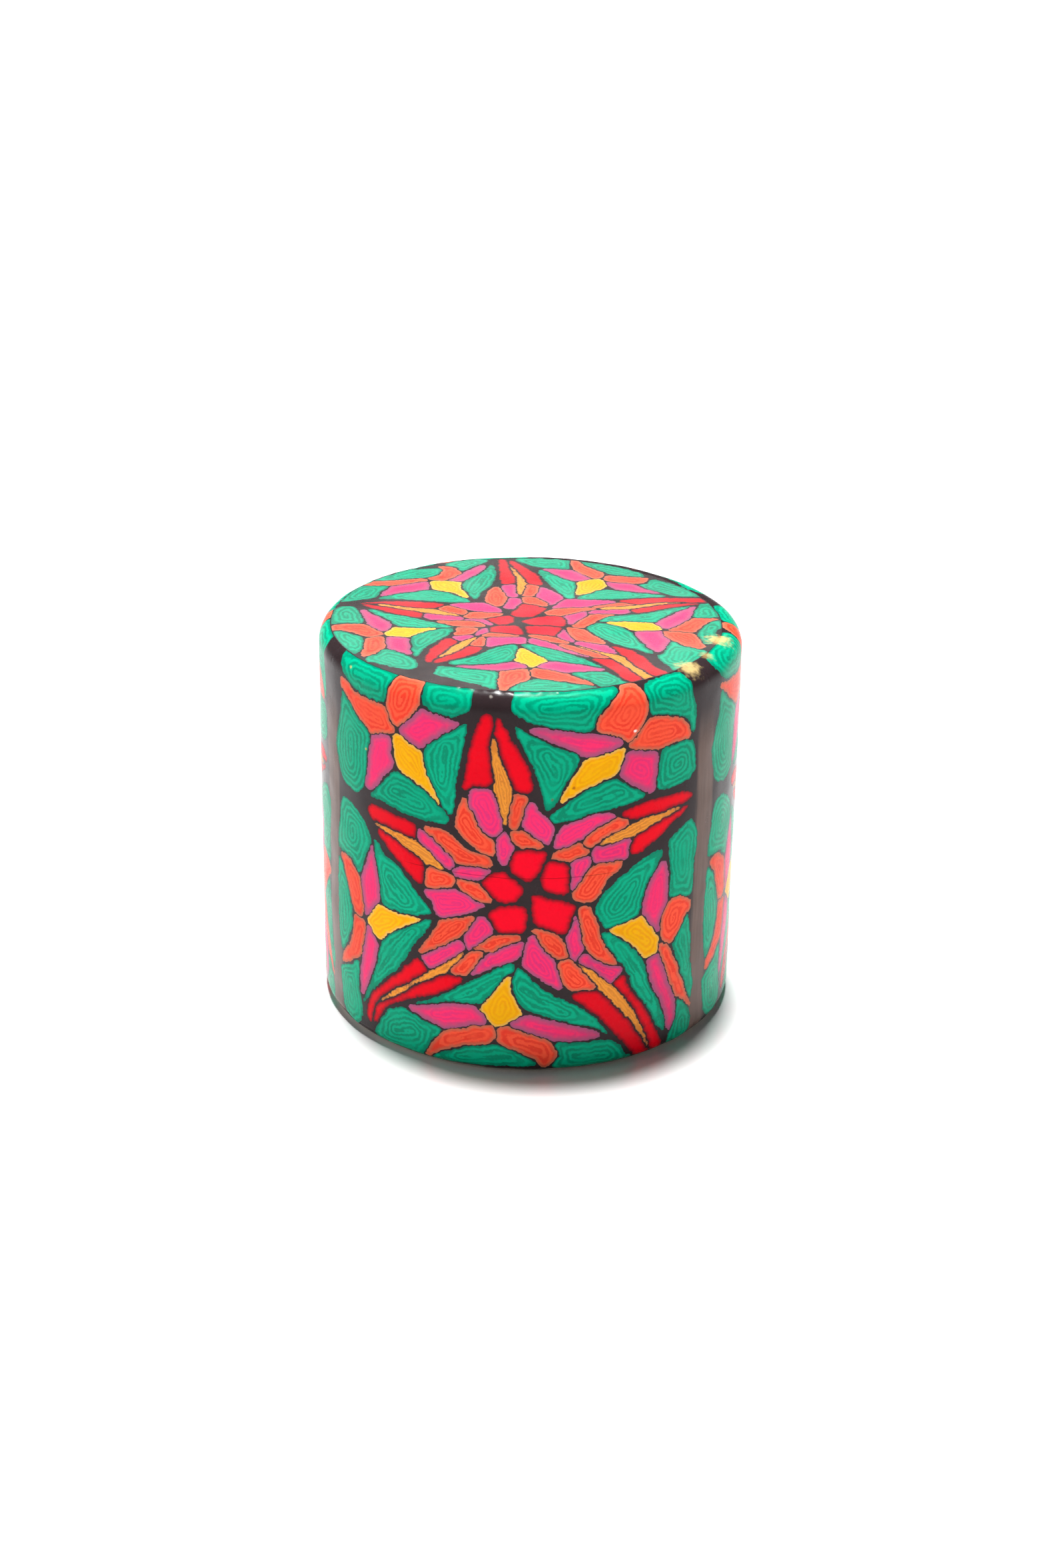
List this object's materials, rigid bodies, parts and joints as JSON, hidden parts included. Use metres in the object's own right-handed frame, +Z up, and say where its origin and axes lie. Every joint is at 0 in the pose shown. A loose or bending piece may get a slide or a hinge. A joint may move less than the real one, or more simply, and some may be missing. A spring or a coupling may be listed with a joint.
{
  "type": "millefiori pillar candle",
  "caption": "Short round pillar candle with rounded edges, covered in slices of a bright millefiori wax cane: a star of small petals ringed by lilies on green.",
  "frame": {"origin": "middle of the flat base, on the surface that the candle stands on", "axes": "+Z up along the candle's axis, -Y to the front, +X to the right"},
  "size_m": [0.076, 0.076, 0.072],
  "materials": {
    "core_wax": "plain cast wax, dull",
    "cotton": "braided cotton, waxed",
    "dark_wax": "polished wax, soft gloss",
    "green_wax": "polished wax, soft gloss",
    "yellow_wax": "polished wax, soft gloss",
    "pink_wax": "polished wax, soft gloss",
    "orange_wax": "polished wax, soft gloss",
    "red_wax": "polished wax, soft gloss",
    "peach_wax": "polished wax, soft gloss",
    "deep_red_wax": "polished wax, soft gloss"
  },
  "bodies": {
    "root": {"core_wax": "core_wax", "wick": "cotton", "front_web": "dark_wax", "front_green": "green_wax", "front_lily_yellow": "yellow_wax", "front_lily_pink": "pink_wax", "front_lily_orange": "orange_wax", "front_arm_red": "red_wax", "front_stamen": "peach_wax", "front_arm_pink": "pink_wax", "front_arm_orange": "orange_wax", "front_heart_red": "deep_red_wax", "right_web": "dark_wax", "right_green": "green_wax", "right_lily_yellow": "yellow_wax", "right_lily_pink": "pink_wax", "right_lily_orange": "orange_wax", "right_arm_red": "red_wax", "right_stamen": "peach_wax", "right_arm_pink": "pink_wax", "right_arm_orange": "orange_wax", "right_heart_red": "deep_red_wax", "left_web": "dark_wax", "left_green": "green_wax", "left_lily_yellow": "yellow_wax", "left_lily_pink": "pink_wax", "left_lily_orange": "orange_wax", "left_arm_red": "red_wax", "left_stamen": "peach_wax", "left_arm_pink": "pink_wax", "left_arm_orange": "orange_wax", "left_heart_red": "deep_red_wax", "top_web": "dark_wax", "top_green": "green_wax", "top_lily_yellow": "yellow_wax", "top_lily_pink": "pink_wax", "top_lily_orange": "orange_wax", "top_arm_red": "red_wax", "top_stamen": "peach_wax", "top_arm_pink": "pink_wax", "top_arm_orange": "orange_wax", "top_heart_red": "deep_red_wax"}
  },
  "joints": []
}
